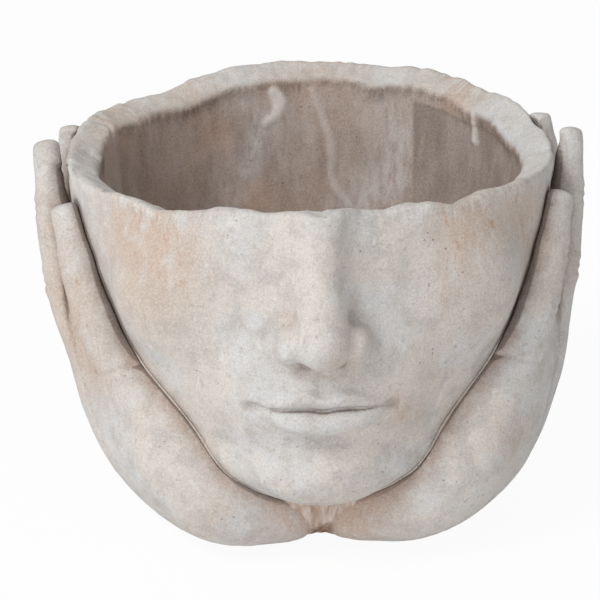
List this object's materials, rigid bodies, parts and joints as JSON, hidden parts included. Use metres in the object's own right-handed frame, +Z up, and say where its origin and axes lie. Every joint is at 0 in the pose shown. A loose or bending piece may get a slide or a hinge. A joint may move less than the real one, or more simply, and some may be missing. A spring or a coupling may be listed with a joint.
{
  "type": "head planter",
  "caption": "Cast cement plant pot shaped as the lower half of a face cupped in open hands, with an open bowl, a drain hole closed by a rubber plug, and felt pads to stand on.",
  "frame": {"origin": "on the standing surface, under the middle of the object's box", "axes": "+Z up, the face looks along -Y, +X towards the head's own left hand"},
  "size_m": [0.2002, 0.1744, 0.1449],
  "materials": {
    "cement": "matte cast cement, mottled grey and beige",
    "mortar": "rough smeared mortar, stained brown",
    "plug_rubber": "matte moulded rubber",
    "felt": "pressed wool felt"
  },
  "bodies": {
    "pot": {"face_bowl": "cement", "left_hand": "cement", "right_hand": "cement", "wrist_mortar": "mortar", "pad_front_left": "felt", "pad_front_right": "felt", "pad_rear_left": "felt", "pad_rear_right": "felt"},
    "plug": {"drain_plug": "plug_rubber"}
  },
  "joints": [
    {"name": "plug_pull", "type": "slide", "parent": "pot", "child": "plug", "axis": [0, 0, 1], "range_m": [0, 0.15]}
  ]
}
